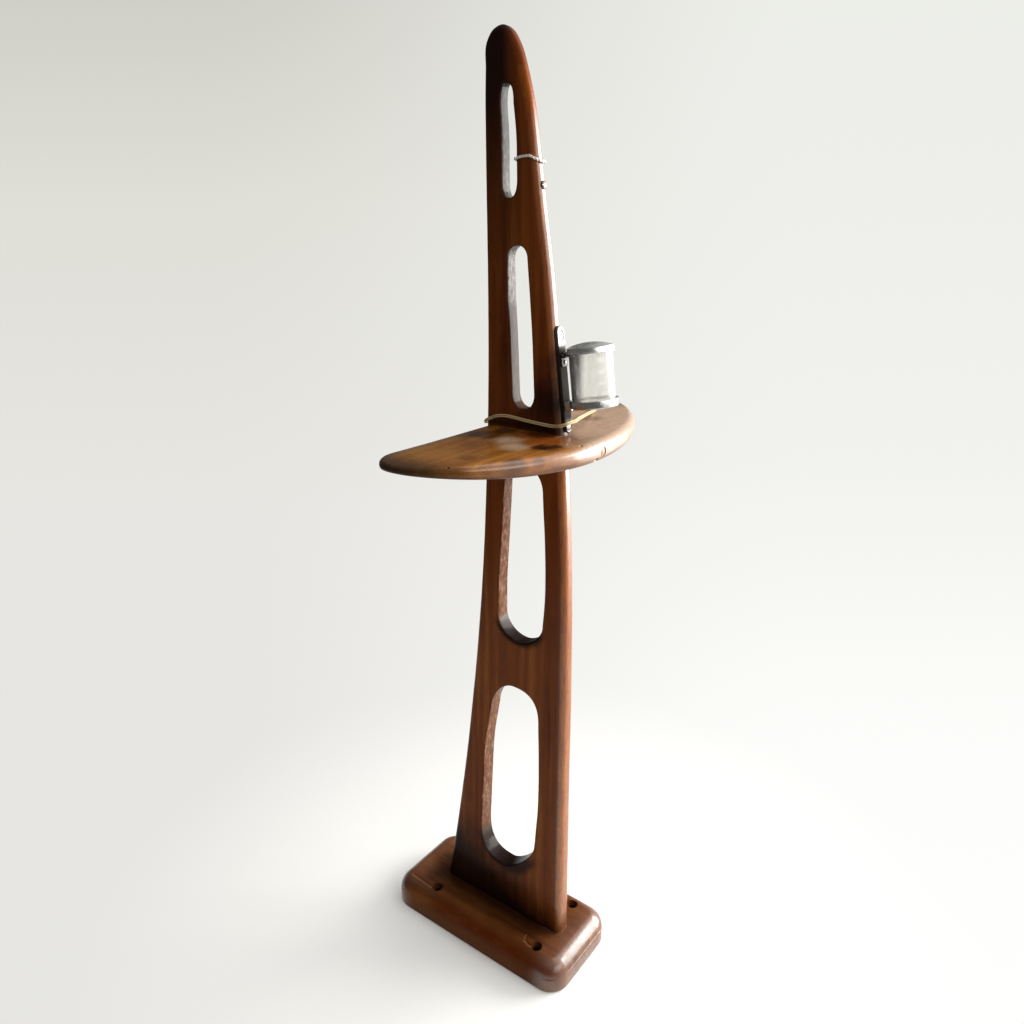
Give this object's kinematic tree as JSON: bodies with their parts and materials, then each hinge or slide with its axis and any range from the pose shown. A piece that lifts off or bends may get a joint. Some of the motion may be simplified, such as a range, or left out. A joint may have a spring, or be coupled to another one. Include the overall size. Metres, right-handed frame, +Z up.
{
  "type": "ham holder stand",
  "caption": "Upright slotted wooden blade on a screw-down plinth, crossed by a half-moon shelf, with a small hinged-lid glass pot on a metal strap.",
  "frame": {"origin": "on the plinth's underside, midway across its width and about 2 mm from the middle of its length", "axes": "+Z up; +X along the plinth towards the edge of the blade that carries the pot; Y across the plinth, through the blade's thickness"},
  "size_m": [0.2457, 0.3288, 0.915],
  "materials": {
    "plinth_wood": "dark reddish-brown varnish, worn paler on the round-over",
    "blade_wood": "dark reddish-brown varnish, upright grain, lighter worn edges",
    "shelf_wood": "glossy orange-brown varnish with dark stains",
    "plug_wood": "satin brown end grain",
    "strap_metal": "worn nickel plate",
    "cup_metal": "polished nickel plate with fine scratches",
    "lid_metal": "polished nickel plate, slightly tarnished",
    "hinge_metal": "dull plated sheet",
    "screw_steel": "worn plated steel",
    "dark_steel": "oxidised steel",
    "pot_glass": "clear pressed glass with slight streaks",
    "cork": "cork, matte",
    "seal_disc": "waxed card, matte",
    "cord": "twisted two-strand natural cord",
    "thread": "twisted white thread"
  },
  "bodies": {
    "stand": {"base_plinth": "plinth_wood", "cup_rivet": "dark_steel", "cup_washer": "cork", "edge_screw": "dark_steel", "hinge_bracket": "hinge_metal", "hinge_pin": "screw_steel", "hinge_rivet": "screw_steel", "jar_cup": "cup_metal", "jar_glass": "pot_glass", "mount_strap": "strap_metal", "shelf_leaf": "shelf_wood", "shelf_plug": "plug_wood", "shelf_screw": "screw_steel", "strap_screw_lower": "screw_steel", "strap_screw_upper": "screw_steel", "tag_thread": "thread", "tie_cord": "cord", "upright_blade": "blade_wood", "upright_screw_front": "screw_steel", "upright_screw_rear": "screw_steel"},
    "lid": {"lid_cap": "lid_metal", "lid_leaf": "hinge_metal", "lid_liner": "seal_disc"}
  },
  "joints": [
    {"name": "lid_hinge", "type": "hinge", "parent": "stand", "child": "lid", "pos_m": [0.07615, 0, 0.65937], "axis": [0, -1, 0], "range_deg": [0, 60]}
  ]
}
